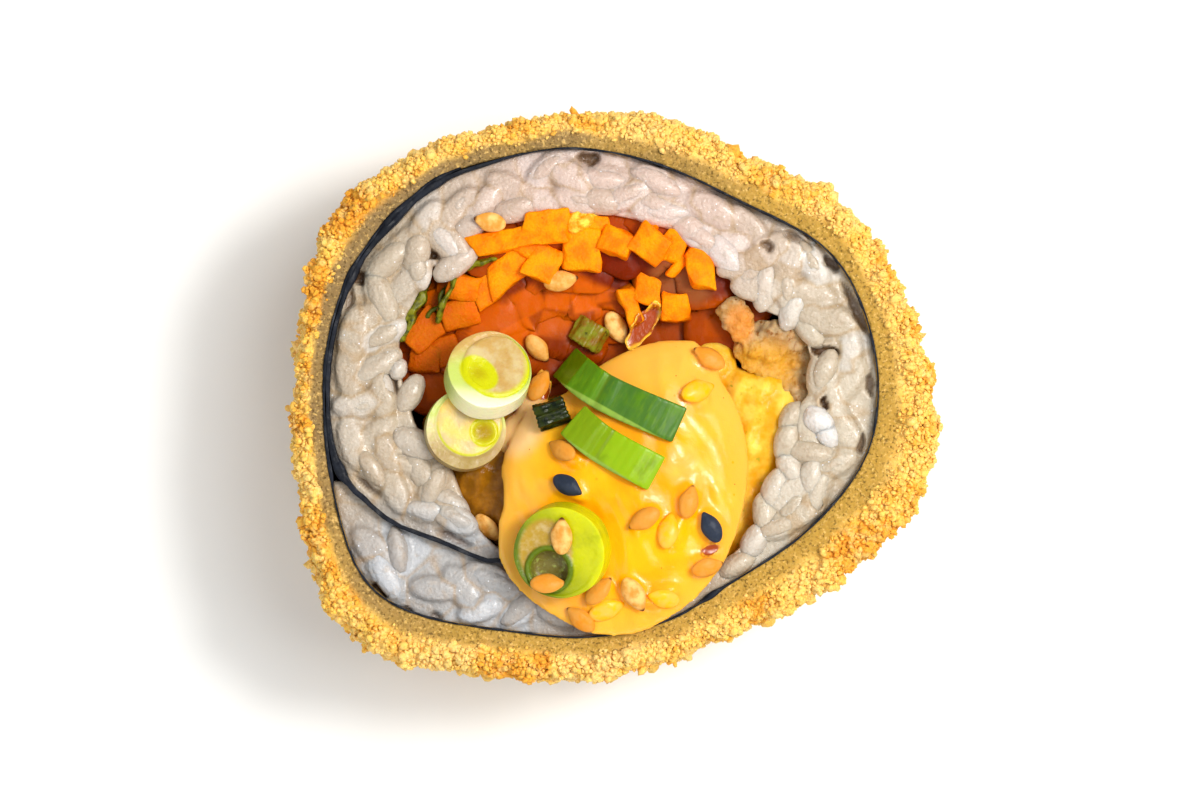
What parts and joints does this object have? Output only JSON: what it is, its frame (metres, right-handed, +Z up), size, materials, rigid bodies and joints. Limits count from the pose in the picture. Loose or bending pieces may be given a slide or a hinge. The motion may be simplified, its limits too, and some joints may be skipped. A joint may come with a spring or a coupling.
{
  "type": "maki roll",
  "caption": "Thick slice of crumb-coated maki roll on its cut face: rice spiral in nori round carrot, leaf, avocado and flaked filling, with sauce, sesame and spring onion on top.",
  "frame": {"origin": "on the table, under the middle of the slice's outline", "axes": "+Z up out of the upper cut face, +X along the slice's longest width, +Y across it"},
  "size_m": [0.0564, 0.0498, 0.0296],
  "materials": {
    "fried_crumb": "rough, crumbly",
    "dried_seaweed": "thin, satin",
    "cooked_rice": "moist, slightly translucent",
    "carrot": "moist",
    "leaf": "cooked, moist",
    "avocado_flesh": "smooth, moist",
    "flaked_filling": "flaky, moist",
    "spicy_sauce": "smooth, glossy",
    "onion_pale": "smooth, moist",
    "onion_green": "smooth, satin",
    "onion_dark": "smooth, glossy"
  },
  "bodies": {
    "root": {"panko_crust": "fried_crumb", "nori_sheet": "dried_seaweed", "rice": "cooked_rice", "carrot_sticks": "carrot", "leaf_outer": "leaf", "leaf_inner": "leaf", "avocado": "avocado_flesh", "flaked_filling": "flaked_filling", "spicy_sauce": "spicy_sauce", "onion_ring_lower": "onion_pale", "onion_ring_upper": "onion_pale", "onion_ring_front": "onion_pale", "onion_strip_lower": "onion_green", "onion_strip_upper": "onion_green", "onion_curl_dark": "onion_dark", "onion_curl_glazed": "onion_dark"}
  },
  "joints": []
}
